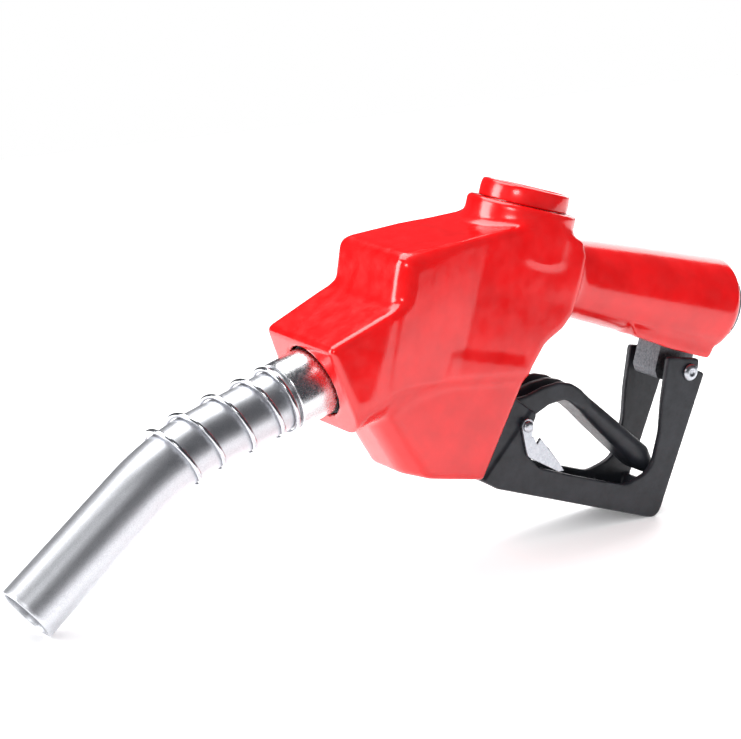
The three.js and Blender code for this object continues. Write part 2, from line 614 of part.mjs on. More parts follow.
add("vacuum_cap", vacuumCap(), CAST);
screwPlaces().forEach((place, i) => add(`vacuum_cap_screw_${i + 1}`, capScrew(place), ZINC));
add("diaphragm", diaphragm(), RUBBER);
add("diaphragm_plate", onTrip(ring(6.5, 2.1, 148.3, 150, 20)), ALUMINIUM);
add("diaphragm_nut", onTrip(ring(3.6, 2.25, 151.8, 153.4, 6)), ZINC);
add("diaphragm_spring", onTrip(spring(5.4, 0.5, 3, 151.8, 158.7)), STEEL);
add("trip_latch_pin", onTrip(tripLatchPin()), STEEL);
[0, 120, 240].forEach((angle, i) => add(`latch_ball_${i + 1}`, latchBall(angle), STEEL));
add("trip_stem", tripStem(), STEEL);
add("trip_spring", onTrip(spring(4.9, 0.55, 5, 100.4, 117.6)), STEEL);
add("trip_stem_seal", onTrip(ring(5.3, 3.9, 95.3, 96.8, 16)), RUBBER);

add("lever", lever(), NYLON);
add("lever_pin", leverPin(), ZINC);
add("hand_guard", handGuard(), NYLON);
add("guard_rivet", guardRivet(), ZINC);
add("guard_screw_near", guardScrew(-1), ZINC);
add("guard_screw_far", guardScrew(1), ZINC);
add("hold_open_latch", holdOpenLatch(), ZINC);
add("latch_rivet_near", latchRivet(-1), ZINC);
add("latch_rivet_far", latchRivet(1), ZINC);

add("spout_collar", spoutCollar(), ALUMINIUM);
add("collar_seal", onSpout(ring(18, 16.6, 3.3, 4.7)), RUBBER);
add("collar_screw", onSpout(along(disc(1.9, 16.6, 18.6, 10), AXIS_X, 0, 0, 9.5)), ZINC);
add("check_guide", checkGuide(), BRASS);
add("check_spring", onSpout(spring(6, 0.5, 3, 27.3, 35.1)), STEEL);
add("check_poppet", checkPoppet(), BRASS);
add("check_seat", onSpout(ring(16.2, 11.4, 40, 44.7)), BRASS);
add("spout", spout(), ALUMINIUM);
add("spout_spring", spoutSpring(), STEEL);
add("sensing_tube", bentBar(spoutLine(-22, 10.4, 14), 2.2, 8), ALUMINIUM);

// The lean that puts the lowest point of the spout rim and the round guard corner on one level.
function leanAngle() {
  const tip = spoutLine(0, 0, 0).at(-1);
  const rim = [tip.x + SPOUT_R * Math.sin(TIP_PITCH), tip.z - SPOUT_R * Math.cos(TIP_PITCH)];
  const corner = [161 - 7.6, 45.2 + GUARD_CORNER_R];
  const reach = [corner[0] - rim[0], corner[1] - rim[1]];
  return Math.acos(GUARD_CORNER_R / Math.hypot(...reach)) - Math.atan2(...reach);
}

leaned.rotation.y = leanAngle();
nozzle.updateMatrixWorld(true);
const bounds = new THREE.Box3().setFromObject(nozzle, true);
nozzle.position.set(-(bounds.min.x + bounds.max.x) / 2, 0, -bounds.min.z);

export default nozzle;
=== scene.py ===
"""The automatic fuel nozzle, dressed for rendering.

Shapes are drawn in the nozzle frame, in millimetres: x along the handle towards the inlet, y = 0 the plane
of symmetry, z up with the handle level. placed() leans them into the row frame, in metres. Moulded and
pressed pieces are fields of signed distance, so that their edges and joints are rounded as moulding leaves
them, and skin() turns a field into a mesh. The rest is turned or swept.
"""

import json
import math

import bpy
import numpy as np
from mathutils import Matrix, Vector


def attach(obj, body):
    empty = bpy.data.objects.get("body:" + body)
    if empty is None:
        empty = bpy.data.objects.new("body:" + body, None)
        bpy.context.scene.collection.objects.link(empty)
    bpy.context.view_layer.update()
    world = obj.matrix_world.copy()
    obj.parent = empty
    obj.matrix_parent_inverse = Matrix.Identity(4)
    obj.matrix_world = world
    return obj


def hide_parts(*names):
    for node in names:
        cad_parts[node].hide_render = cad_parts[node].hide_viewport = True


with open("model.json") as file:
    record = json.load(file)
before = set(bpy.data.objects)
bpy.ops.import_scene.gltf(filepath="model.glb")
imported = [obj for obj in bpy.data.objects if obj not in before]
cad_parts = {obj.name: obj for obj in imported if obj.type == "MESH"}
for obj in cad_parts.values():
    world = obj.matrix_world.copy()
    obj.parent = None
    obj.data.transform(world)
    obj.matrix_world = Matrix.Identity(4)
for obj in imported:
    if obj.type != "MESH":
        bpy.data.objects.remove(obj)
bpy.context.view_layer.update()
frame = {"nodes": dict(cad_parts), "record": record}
NODES = frame["nodes"]

LEAN = math.radians(16.031367)
SHIFT_X = -12.02730
SHIFT_Z = -0.58120

WALL = 2.5
BODY_HALF = 26.5
SKIRT_HALF = 24.5
HANDLE_Z = 158.0
MAIN_X = 39.4
SPOUT_PITCH = math.radians(33.4)
TIP_PITCH = math.radians(55.2)
MOUTH_X = -60.3
MOUTH_Z = 84.9
CHIN = 25.6
FLARE = 0.2
CAP_R = 22.4
CAP_TOP = 197.6
TIER_R = 27.4
TIER_TOP = 188.6
SPOUT_HOLE_R = 18.7
HANDLE_BORE_R = 22.2
CAP_BORE_R = 19.6
LEVER_HALF = 11.5
SPOUT_R = 15.0
SPOUT_BORE_R = 13.2
SPOUT_TOP = 1.3
BEND_R = 120.0
BEND_START = 58.9
TIP_STRAIGHT = 74.0
PLATE_IN = 13.8
PLATE_OUT = 16.8
LEVER_PIN = (-4.0, 66.0)
RIVET = (158.0, 123.0)
LATCH_EYE = (60.8, 82.6)
GUARD_SCREW = (27.0, 105.6)
WIRE_R = 1.2
COIL_R = 16.8
COIL_TURNS = 5
COIL_STOPS = [17.9, 21, 36.8, 54, 72.4, 83.5]
FLOOR_FRONT = -0.36
FLOOR_BACK = 1.05
FLOOR_HALF = 3

# Side outlines as (x, z) or (x, z, corner radius).
BODY = [(-36, 86), (-44.6, 154.5, 8), (26, 180, 20), (39.4, 183), (62, 178, 4), (66.5, 171, 4),
        (66.5, 142, 6), (62.6, 134, 8), (54, 125.2, 12), (48.4, 108.8, 6), (42, 106.7), (1, 98.8),
        (-27, 91.7)]
NOSE = [(-73.5, 104.6, 4), (-40, 131.4, 4), (-20, 132), (4, 118), (0, 100), (-10, 78), (-36, 57)]
SKIRT = [(-31, 73, 6), (-4.6, 49.4, 6), (37.6, 53.6, 3), (48.4, 108.8), (42, 115), (1, 113), (-29, 104)]
SKIRT_VOID = [(-31, 73, 6), (-4.6, 49.4, 6), (47, 54.6), (58, 104.5), (44.8, 107), (44.8, 115), (1, 115),
              (-29, 104)]
HANDLE = [(30, -40), (30, 20), (68, 20), (82, 20.1, 20), (120, 22.4), (172.5, 25, 5), (176, 22.6, 3),
          (176, -40)]
PAD = [(113, 142), (117, 136, 3), (143, 132.8), (169, 131.4, 3), (172, 142)]
GUARD = [(141.6, 128.6, 2), (162.6, 130.6, 2), (163.6, 124.6), (168.4, 123.7, 1.5), (161, 45.2, 7),
         (54.2, 49.2, 4), (43, 52, 4), (38.8, 58), (24, 96), (18.5, 101, 2), (18.5, 110.6, 2),
         (33.4, 110.6, 2), (39.5, 100), (55, 93.8), (66.8, 89.2, 3), (64, 79, 4), (66.4, 68.4, 8),
         (76, 62.7, 8), (100, 61.2), (134, 60.2, 14), (149.2, 69.6, 14), (148.4, 90), (144.8, 106)]
GUARD_WEB = [(161.6, 62), (161.2, 45.2, 7), (54.2, 49.2, 3), (43, 52), (44, 55.4), (54.6, 52.6),
             (157.4, 49, 4), (158.2, 62)]
GUARD_RIB = [(135, 47.6), (137.6, 47.6), (139.4, 56.6), (138, 57)]
LEVER = [(-9, 66, 5), (-4, 71.4, 3), (6, 74.6, 10), (39.4, 88.1, 20), (62, 97, 10), (71, 102.6, 10),
         (80, 106.2, 8), (88, 106.4, 8), (96, 104.2, 10), (109.5, 98.4, 10), (150, 80.4, 5), (155.5, 74, 4),
         (153.5, 66, 3), (147.5, 68.4, 4), (116, 84.2, 20), (100, 92.8, 8), (87, 98.2, 8), (77, 94, 8),
         (69, 87, 8), (58, 83.4, 10), (39.4, 77.6, 10), (6, 65.6, 6), (-0.6, 61.4, 3), (-7, 61.6, 4)]
LEVER_GROOVE = [(10, 69.6), (39.4, 80, 10), (60, 86.6, 10), (69, 92, 8), (77, 98.6, 8), (87, 102.2, 6),
                (96, 98, 4), (110, 112), (60, 112), (10, 90)]
LATCH_ARM = [(56.9, 82.6, 4), (58.4, 86.6, 4), (63.4, 86.4, 4), (64.8, 82.2, 3), (64.8, 78.2), (66.4, 77.8),
             (69.2, 74.6), (70.6, 77.9), (75.7, 74.4), (86.2, 67, 2), (90.4, 63.4), (87.1, 62.4), (76.2, 65),
             (69.2, 66.6, 3), (65.6, 67.6, 3), (63.3, 71)]
LATCH_WEB = [(76, 72.8), (77, 74), (87, 66.6), (86.2, 65.2)]


# ---- frame -------------------------------------------------------------------------------------------------

def placed(points):
    """Points of the nozzle frame, in millimetres, as row-frame points in metres."""
    p = np.asarray(points, float)
    x = math.cos(LEAN) * p[:, 0] + math.sin(LEAN) * p[:, 2] + SHIFT_X
    z = -math.sin(LEAN) * p[:, 0] + math.cos(LEAN) * p[:, 2] + SHIFT_Z
    return np.stack([x, p[:, 1], z], axis=1) / 1000


def add_mesh(name, points, faces, body, slot, node, smooth=40):
    """A piece from nozzle-frame points, riding on a body and standing for a CAD node."""
    mesh = bpy.data.meshes.new(name)
    mesh.from_pydata(placed(points).tolist(), [], [list(map(int, f)) for f in faces])
    mesh.validate()
    piece = bpy.data.objects.new(name, mesh)
    bpy.context.scene.collection.objects.link(piece)
    soften(piece, smooth)
    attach(piece, body)
    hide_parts(node)
    return piece


def soften(piece, degrees):
    """Smooth shading, with edges sharper than the angle kept crisp."""
    piece.data.shade_smooth()
    piece.data.set_sharp_from_angle(angle=math.radians(degrees))


# ---- fields of signed distance -----------------------------------------------------------------------------

def bend(start, corner, end, steps):
    """Points of a short arc that rounds a corner."""
    return [(1 - t) ** 2 * start + 2 * t * (1 - t) * corner + t * t * end for t in np.linspace(0, 1, steps)]


def outline(corners):
    """A closed outline with each corner radius drawn as a short arc."""
    points = []
    for i, corner in enumerate(corners):
        here = np.array(corner[:2], float)
        if len(corner) == 2:
            points.append(here)
            continue
        back = np.array(corners[i - 1][:2], float) - here
        ahead = np.array(corners[(i + 1) % len(corners)][:2], float) - here
        back_length = np.linalg.norm(back)
        ahead_length = np.linalg.norm(ahead)
        half = math.acos(back @ ahead / (back_length * ahead_length)) / 2
        reach = min(corner[2] / math.tan(half), 0.48 * back_length, 0.48 * ahead_length)
        start = here + back / back_length * reach
        end = here + ahead / ahead_length * reach
        points += bend(start, here, end, 6)
    return points


def flat(points, x, z):
    """Signed distance to a closed outline, negative inside."""
    best = np.full(np.broadcast(x, z).shape, 1e9)
    inside = np.zeros(best.shape, bool)
    for (ax, az), (bx, bz) in zip(points, points[1:] + points[:1]):
        ex = bx - ax
        ez = bz - az
        px = x - ax
        pz = z - az
        t = np.clip((px * ex + pz * ez) / max(ex * ex + ez * ez, 1e-9), 0, 1)
        best = np.minimum(best, (px - ex * t) ** 2 + (pz - ez * t) ** 2)
        if abs(ez) > 1e-9:
            inside ^= ((az > z) != (bz > z)) & (px < pz * ex / ez)
    return np.where(inside, -1, 1) * np.sqrt(best)


def meet(a, b, edge):
    """The overlap of two fields, its edge rounded to a radius."""
    a = a + edge
    b = b + edge
    return np.minimum(np.maximum(a, b), 0) + np.hypot(np.maximum(a, 0), np.maximum(b, 0)) - edge


def blend(a, b, width):
    """The union of two fields, with a fillet about as wide as the width."""
    h = np.maximum(width - np.abs(a - b), 0) / width
    return np.minimum(a, b) - h * h * width / 4


def carve(a, b, width):
    """Field a without field b, the cut's lip rounded."""
    return -blend(-a, b, width)


def prism(points, half, edge, x, y, z):
    """An outline drawn out to both sides of the plane of symmetry, its edges rounded."""
    return meet(flat(points, x, z), np.abs(y) - half, edge)


def rod(centre, radius, x, z):
    """A round hole or boss across the nozzle."""
    return np.hypot(x - centre[0], z - centre[1]) - radius


def spout_axes(x, z):
    """How far a point lies along the spout axis, towards the nozzle, and above it."""
    along = (x - MOUTH_X) * math.cos(SPOUT_PITCH) + (z - MOUTH_Z) * math.sin(SPOUT_PITCH)
    above = -(x - MOUTH_X) * math.sin(SPOUT_PITCH) + (z - MOUTH_Z) * math.cos(SPOUT_PITCH)
    return along, above


def project(field, points, step):
    """Points moved onto the field's surface."""
    value = field(*points.T)
    shift = 0.02
    slope = np.stack([(field(*(points + np.eye(3)[i] * shift).T) - value) / shift for i in range(3)], axis=1)
    size = np.maximum((slope ** 2).sum(axis=1), 0.2)
    move = np.clip(value / size, -step, step)
    return points - slope * move[:, None]


def relax(points, faces):
    """Points moved half-way to the middle of their neighbours."""
    starts = faces.reshape(-1)
    ends = np.roll(faces, -1, axis=1).reshape(-1)
    both = np.concatenate([starts, ends])
    other = np.concatenate([ends, starts])
    count = np.maximum(np.bincount(both, minlength=len(points)), 1)
    middle = [np.bincount(both, weights=points[other, i], minlength=len(points)) / count for i in range(3)]
    return (points + np.stack(middle, axis=1)) / 2


def skin(field, low, high, step):
    """The points and quads of a field's surface, one point to each cell that it crosses."""
    axes = [np.arange(a, b + step, step) for a, b in zip(low, high)]
    x, y, z = np.meshgrid(*axes, indexing="ij", sparse=True)
    inside = np.broadcast_to(field(x, y, z) < 0, [len(a) for a in axes])
    size = np.array(inside.shape)
    count = np.zeros(size - 1, int)
    for corner in np.ndindex(2, 2, 2):
        count += inside[tuple(slice(c, c + n - 1) for c, n in zip(corner, size))]
    crossed = (count > 0) & (count < 8)
    number = np.full(crossed.shape, -1)
    number[crossed] = np.arange(crossed.sum())
    points = np.argwhere(crossed) * step + np.array(low, float) + step / 2
    quads = []
    for axis in range(3):
        u = (axis + 1) % 3
        v = (axis + 2) % 3
        change = np.argwhere(np.diff(inside.astype(np.int8), axis=axis) != 0)
        for side in (u, v):
            change = change[(change[:, side] > 0) & (change[:, side] < size[side] - 1)]
        around = []
        for du, dv in ((1, 1), (0, 1), (0, 0), (1, 0)):
            cell = change.copy()
            cell[:, u] -= du
            cell[:, v] -= dv
            around.append(number[tuple(cell.T)])
        quad = np.stack(around, axis=1)
        hollow = ~inside[tuple(change.T)]
        quad[hollow] = quad[hollow][:, ::-1]
        quads.append(quad)
    faces = np.concatenate(quads)
    for _ in range(3):
        points = project(field, points, step)
    for _ in range(2):
        points = project(field, relax(points, faces), step)
    return project(field, points, step), faces


# ---- turned and swept shapes -------------------------------------------------------------------------------

def smooth_profile(corners):
    """A turned piece's profile as (radius, height) or (radius, height, reach of the rounding)."""
    points = []
    for i, corner in enumerate(corners):
        here = np.array(corner[:2], float)
        if len(corner) == 2 or i in (0, len(corners) - 1):
            points.append(here)
            continue
        back = np.array(corners[i - 1][:2], float) - here
        ahead = np.array(corners[i + 1][:2], float) - here
        back_length = np.linalg.norm(back)
        ahead_length = np.linalg.norm(ahead)
        reach = min(corner[2], 0.48 * back_length, 0.48 * ahead_length)
        start = here + back / back_length * reach
        end = here + ahead / ahead_length * reach
        points += bend(start, here, end, 5)
    return points


def bands(rows, sides, closed):
    """The quads between rings of points, and from the last ring to the first where the rings close up."""
    faces = []
    for i in range(rows if closed else rows - 1):
        a = i * sides
        b = (i + 1) % rows * sides
        for k in range(sides):
            n = (k + 1) % sides
            faces.append((a + k, a + n, b + n, b + k))
    return faces


def end_caps(rows, sides):
    """The two faces that close the first and the last ring."""
    return [tuple(reversed(range(sides))), tuple(range((rows - 1) * sides, rows * sides))]


def turned(corners, origin, axis, sides=72):
    """A solid of revolution about an axis. A profile that starts and ends off the axis is a ring."""
    profile = smooth_profile(corners)
    axis = Vector(axis).normalized()
    side = axis.orthogonal().normalized()
    other = axis.cross(side)
    ring = profile[0][0] > 0
    rows = profile if ring else profile[1:-1]
    points = []
    for radius, height in rows:
        for k in range(sides):
            turn = 2 * math.pi * k / sides
            out = side * math.cos(turn) + other * math.sin(turn)
            points.append(Vector(origin) + axis * float(height) + out * float(radius))
    faces = bands(len(rows), sides, ring)
    if not ring:
        faces += end_caps(len(rows), sides)
    return np.array([tuple(p) for p in points]), faces


def swept(frames, section):
    """A closed section of (a, b) offsets carried along frames of (centre, a direction, b direction)."""
    sides = len(section)
    points = [centre + first * a + second * b for centre, first, second in frames for a, b in section]
    return np.array(points), bands(len(frames), sides, False) + end_caps(len(frames), sides)


def spout_point(u):
    """The spout's centre line a distance from the cover: its point and the pitch there."""
    arc = BEND_R * (TIP_PITCH - SPOUT_PITCH)
    pitch = SPOUT_PITCH + min(max(u - BEND_START, 0), arc) / BEND_R
    straight = min(u, BEND_START)
    point = np.array([MOUTH_X, 0, MOUTH_Z])
    point = point - straight * np.array([math.cos(SPOUT_PITCH), 0, math.sin(SPOUT_PITCH)])
    if u > BEND_START:
        point += BEND_R * np.array([math.sin(SPOUT_PITCH), 0, -math.cos(SPOUT_PITCH)])
        point += BEND_R * np.array([-math.sin(pitch), 0, math.cos(pitch)])
    beyond = max(u - BEND_START - arc, 0)
    return point - beyond * np.array([math.cos(pitch), 0, math.sin(pitch)]), pitch


def tube(stations, sides):
    """A tube through rings of (distance along the spout, radius), up the outside and back inside."""
    points = []
    for u, radius in stations:
        centre, pitch = spout_point(u)
        up = np.array([-math.sin(pitch), 0, math.cos(pitch)])
        for k in range(sides):
            turn = 2 * math.pi * k / sides
            points.append(centre + up * radius * math.cos(turn) + np.array([0, radius * math.sin(turn), 0]))
    return np.array(points), bands(len(stations), sides, True)


# ---- cover -------------------------------------------------------------------------------------------------

BODY_LINE = outline(BODY)
NOSE_LINE = outline(NOSE)
HANDLE_LINE = outline(HANDLE)


def cover_form(skirt, x, y, z):
    """The cover as a solid: hood, nose, skirt, cap tier and grip run together."""
    # The hood widens forwards, and the nose narrows again towards its tip.
    flare = 1 + FLARE * np.clip((5 - x) / 49, 0, 1) - 0.5 * FLARE * np.clip((-46 - x) / 27, 0, 1)
    side = np.abs(y) - BODY_HALF * flare
    front = np.clip((-12 - x) / 28, 0, 1)
    hood = meet(flat(BODY_LINE, x, z), side, 3.2 + 6.3 * front)
    along, above = spout_axes(x, z)
    chin = meet(-above - CHIN, side, 19)
    nose = carve(meet(flat(NOSE_LINE, x, z), side, 3.6), -chin, 1.2)
    upper = np.maximum(blend(hood, nose, 4.5), side)
    # The skirt's two front corners are cut back at a slant.
    behind = 0.667 * (x + 17.8) + 0.745 * (z - 61.2)
    corner = 0.532 * (np.abs(y) - 13) - 0.847 * behind
    apron = carve(prism(skirt, SKIRT_HALF, 3, x, y, z), -corner, 3)
    upper = blend(upper, apron, 5)
    tier = meet(np.hypot(x - MAIN_X, y) - TIER_R, np.maximum(z - TIER_TOP, 164 - z), 2.4)
    upper = np.maximum(blend(upper, tier, 5), np.abs(y) - np.maximum(TIER_R, BODY_HALF * flare))
    return blend(upper, flat(HANDLE_LINE, x, np.hypot(y, z - HANDLE_Z)), 10)


def box_field(low, high, half, x, y, z):
    """A box between two (x, z) corners, drawn out to both sides of the plane of symmetry."""
    sides = np.maximum(np.maximum(low[0] - x, x - high[0]), np.maximum(low[1] - z, z - high[1]))
    return np.maximum(sides, np.abs(y) - half)


def cover_field(x, y, z):
    """The cover as a shell, with its openings for the spout, handle, caps, lever and lug."""
    skin_form = blend(cover_form(SKIRT_LINE, x, y, z), prism(PAD_LINE, PLATE_OUT, 1.2, x, y, z), 2)
    shell = carve(skin_form, cover_form(VOID_LINE, x, y, z) + WALL, 0.8)
    along, above = spout_axes(x, z)
    shell = carve(shell, np.maximum(np.hypot(y, above) - SPOUT_HOLE_R, np.abs(along) - 16), 1.6)
    shell = carve(shell, np.maximum(np.hypot(y, z - HANDLE_Z) - HANDLE_BORE_R, 160 - x), 1.2)
    shell = carve(shell, np.maximum(np.hypot(x - MAIN_X, y) - CAP_BORE_R, 180 - z), 1)
    shell = carve(shell, box_field((32, 99), (60, 113), 6.6, x, y, z), 0.8)
    return carve(shell, box_field((140.4, 120), (166, 145), 9.5, x, y, z), 0.8)


SKIRT_LINE = outline(SKIRT)
VOID_LINE = outline(SKIRT_VOID)
PAD_LINE = outline(PAD)
cover_mesh = skin(cover_field, (-78, -34, 44), (179, 34, 192), 1.3)
cover = add_mesh("cover", *cover_mesh, "body", "red_vinyl", "scuff_cover")

cap_profile = [(0, 193.2), (18.8, 193.2), (18.8, TIER_TOP + 0.2), (CAP_R, TIER_TOP + 0.2, 0.9),
               (CAP_R, 193.6, 1), (CAP_R - 0.6, CAP_TOP, 2.6), (18.4, CAP_TOP, 1), (17.6, CAP_TOP - 0.5, 0.8),
               (0, CAP_TOP - 0.5)]
cap = add_mesh("cap_cover_top", *turned(cap_profile, (MAIN_X, 0, 0), (0, 0, 1), 96), "body", "red_vinyl",
               "cap_cover")

# ---- guard, lever and latch --------------------------------------------------------------------------------

GUARD_LINE = outline(GUARD)
WEB_LINE = outline(GUARD_WEB)
LEVER_LINE = outline(LEVER)
GROOVE_LINE = outline(LEVER_GROOVE)
ARM_LINE = outline(LATCH_ARM)


def guard_field(x, y, z):
    """Two plates joined by a floor; each plate is thinner in front of a slanting step."""
    step = np.clip(0.5 - (0.895 * (x - 57.5) - 0.446 * (z - 81)) / 1.2, 0, 1)
    faces = np.maximum(np.abs(y) - PLATE_OUT + 0.9 * step, PLATE_IN - np.abs(y))
    plates = meet(flat(GUARD_LINE, x, z), faces, 0.8)
    floor = prism(WEB_LINE, PLATE_IN + 1, 0.3, x, y, z)
    rib = prism(GUARD_RIB, PLATE_IN + 1, 0.3, x, y, z)
    bosses = meet(rod(RIVET, 5.2, x, z), np.maximum(np.abs(y) - 14.8, 9.4 - np.abs(y)), 0.5)
    whole = blend(plates, np.minimum(floor, rib), 1.4)
    whole = np.minimum(whole, bosses)
    for centre, radius in ((RIVET, 3.3), (GUARD_SCREW, 2.7), (LATCH_EYE, 2.2)):
        whole = carve(whole, rod(centre, radius, x, z), 0.5)
    return whole


def lever_field(x, y, z):
    """Three ribs over the hump that run out into one rounded bar."""
    bar = np.clip((x - 92) / 12, 0, 1)
    solid = meet(flat(LEVER_LINE, x, z), np.abs(y) - LEVER_HALF, 1 + 4.4 * bar)
    groove = meet(flat(GROOVE_LINE, x, z), np.abs(np.abs(y) - 5.35) - 3.65, 0.8)
    solid = carve(solid, groove, 1)
    solid = carve(solid, box_field((-12, 55), (9, 85), 3.9, x, y, z), 0.6)
    return carve(solid, rod(LEVER_PIN, 2.3, x, z), 0.4)


def latch_field(x, y, z):
    """Two sheet-metal arms joined by a bent web."""
    arms = meet(flat(ARM_LINE, x, z), np.abs(np.abs(y) - 17.9) - 0.8, 0.35)
    web = prism(LATCH_WEB, 18, 0.3, x, y, z)
    return carve(blend(arms, web, 0.9), rod(LATCH_EYE, 2.2, x, z), 0.3)


guard_mesh = skin(guard_field, (15, -19, 43), (170, 19, 134), 0.8)
guard = add_mesh("guard", *guard_mesh, "body", "black_nylon", "hand_guard")
lever_mesh = skin(lever_field, (-12, -14, 58), (158, 14, 108), 0.75)
lever = add_mesh("squeeze_lever", *lever_mesh, "lever", "black_nylon", "lever")
latch_mesh = skin(latch_field, (54, -21, 60), (93, 21, 89), 0.5)
latch = add_mesh("hold_open", *latch_mesh, "latch", "zinc_plate", "hold_open_latch", 30)

rivet_half = [(3, 17.1), (4.4, 17.1, 0.3), (4.4, 18.1, 0.7), (3.2, 19.1, 0.8), (1.8, 19.2, 0.6),
              (1.1, 18.5, 0.4), (0, 18.5)]
rivet_profile = [(c[0], -c[1], *c[2:]) for c in reversed(rivet_half)] + rivet_half
rivet_mesh = turned(rivet_profile, (RIVET[0], 0, RIVET[1]), (0, 1, 0), 48)
rivet = add_mesh("rivet", *rivet_mesh, "body", "zinc_plate", "guard_rivet")
eye_profile = [(0, 12.6), (3, 12.6, 0.3), (3, 13.5, 0.3), (1.9, 13.5), (1.9, 19), (2.9, 19, 0.2),
               (2.8, 19.7, 0.6), (1.6, 20.4, 0.8), (0, 20.4)]
latch_rivets = []
for name, way in (("near", -1), ("far", 1)):
    eye_mesh = turned(eye_profile, (LATCH_EYE[0], 0, LATCH_EYE[1]), (0, way, 0), 40)
    latch_rivets.append(add_mesh("eye_rivet_" + name, *eye_mesh, "body", "zinc_plate", "latch_rivet_" + name))

# ---- spout -------------------------------------------------------------------------------------------------

SPOUT_END = BEND_START + BEND_R * (TIP_PITCH - SPOUT_PITCH) + TIP_STRAIGHT
stops = np.concatenate([
    np.linspace(3, BEND_START, 8),
    np.linspace(BEND_START + 1.5, SPOUT_END - TIP_STRAIGHT, 28),
    np.linspace(SPOUT_END - 68, SPOUT_END - 2, 8),
])
outside = [(SPOUT_TOP, SPOUT_R)] + [(u, SPOUT_R) for u in stops]
lip = [(SPOUT_END - 0.5, SPOUT_R), (SPOUT_END - 0.12, SPOUT_R - 0.15), (SPOUT_END, SPOUT_R - 0.5),
       (SPOUT_END, SPOUT_BORE_R + 0.4), (SPOUT_END - 0.12, SPOUT_BORE_R + 0.12),
       (SPOUT_END - 0.5, SPOUT_BORE_R)]
inside = [(u, SPOUT_BORE_R) for u in reversed(stops)] + [(SPOUT_TOP, SPOUT_BORE_R)]
spout = add_mesh("spout_tube", *tube(outside + lip + inside, 96), "body", "spout_tube", "spout")

collar_profile = [(15.4, -16.3), (16.9, -16.3, 0.4), (17.4, -15.6, 0.5), (17.4, 3), (16.2, 3), (16.2, 23),
                  (13, 23), (13, -1), (15.4, -1)]
spout_axis = (math.cos(SPOUT_PITCH), 0, math.sin(SPOUT_PITCH))
collar_mesh = turned(collar_profile, (MOUTH_X, 0, MOUTH_Z), spout_axis, 96)
collar = add_mesh("spout_sleeve", *collar_mesh, "body", "machined", "spout_collar")


def spring_frames():
    """The wire's centre line: loose turns down the spout that close up at the sleeve."""
    turns = np.linspace(0, COIL_TURNS, COIL_TURNS * 56)
    travel = np.interp(turns, np.arange(COIL_TURNS + 1), COIL_STOPS)
    travel = np.convolve(np.pad(travel, 20, mode="edge"), np.ones(41) / 41, mode="valid")
    path = []
    for turn, u in zip(turns, travel):
        centre, pitch = spout_point(u)
        up = np.array([-math.sin(pitch), 0, math.cos(pitch)])
        angle = 2 * math.pi * turn
        radius = COIL_R + 0.5 * max(turn - 4, 0)
        radial = np.array([0, math.cos(angle), 0]) - up * math.sin(angle)
        path.append((centre + radial * radius, radial))
    frames = []
    for i, (centre, radial) in enumerate(path):
        tangent = path[min(i + 1, len(path) - 1)][0] - path[max(i - 1, 0)][0]
        tangent /= np.linalg.norm(tangent)
        across = np.cross(tangent, radial)
        frames.append((centre, radial, across / np.linalg.norm(across)))
    return frames


around_wire = np.linspace(0, 2 * math.pi, 16, endpoint=False)
wire = [(WIRE_R * math.cos(a), WIRE_R * math.sin(a)) for a in around_wire]
spring = add_mesh("spout_wire", *swept(spring_frames(), wire), "body", "spring_steel", "spout_spring")

# ---- materials ---------------------------------------------------------------------------------------------

class Look:
    """A procedural material: its shader, and helpers that add the nodes which drive it."""

    def __init__(self, name, metallic=0.0):
        self.material = bpy.data.materials.new(name)
        self.material.use_nodes = True
        self.tree = self.material.node_tree
        self.shader = self.tree.nodes["Principled BSDF"]
        self.shader.inputs["Metallic"].default_value = metallic
        self.place = self.tree.nodes.new("ShaderNodeTexCoord").outputs["Object"]

    def link(self, output, socket):
        self.tree.links.new(output, socket)

    def noise(self, scale, stretch=(1, 1, 1), detail=4.0, roughness=0.55):
        mapping = self.tree.nodes.new("ShaderNodeMapping")
        mapping.inputs["Scale"].default_value = stretch
        self.link(self.place, mapping.inputs["Vector"])
        texture = self.tree.nodes.new("ShaderNodeTexNoise")
        texture.inputs["Scale"].default_value = scale
        texture.inputs["Detail"].default_value = detail
        texture.inputs["Roughness"].default_value = roughness
        self.link(mapping.outputs["Vector"], texture.inputs["Vector"])
        return texture.outputs["Fac"]

    def colour(self, factor, first, second, low=0.35, high=0.65):
        ramp = self.tree.nodes.new("ShaderNodeValToRGB")
        ramp.color_ramp.elements[0].position = low
        ramp.color_ramp.elements[1].position = high
        ramp.color_ramp.elements[0].color = (*first, 1)
        ramp.color_ramp.elements[1].color = (*second, 1)
        self.link(factor, ramp.inputs["Fac"])
        self.link(ramp.outputs["Color"], self.shader.inputs["Base Color"])

    def rough(self, factor, low, high):
        spread = self.tree.nodes.new("ShaderNodeMapRange")
        spread.inputs["From Min"].default_value = 0.3
        spread.inputs["From Max"].default_value = 0.7
        spread.inputs["To Min"].default_value = low
        spread.inputs["To Max"].default_value = high
        self.link(factor, spread.inputs["Value"])
        self.link(spread.outputs["Result"], self.shader.inputs["Roughness"])

    def bumps(self, *layers):
        """Layers of (height, strength, depth in metres), each laid over the last."""
        normal = None
        for height, strength, depth in layers:
            bump = self.tree.nodes.new("ShaderNodeBump")
            bump.inputs["Strength"].default_value = strength
            bump.inputs["Distance"].default_value = depth
            self.link(height, bump.inputs["Height"])
            if normal is not None:
                self.link(normal, bump.inputs["Normal"])
            normal = bump.outputs["Normal"]
        self.link(normal, self.shader.inputs["Normal"])


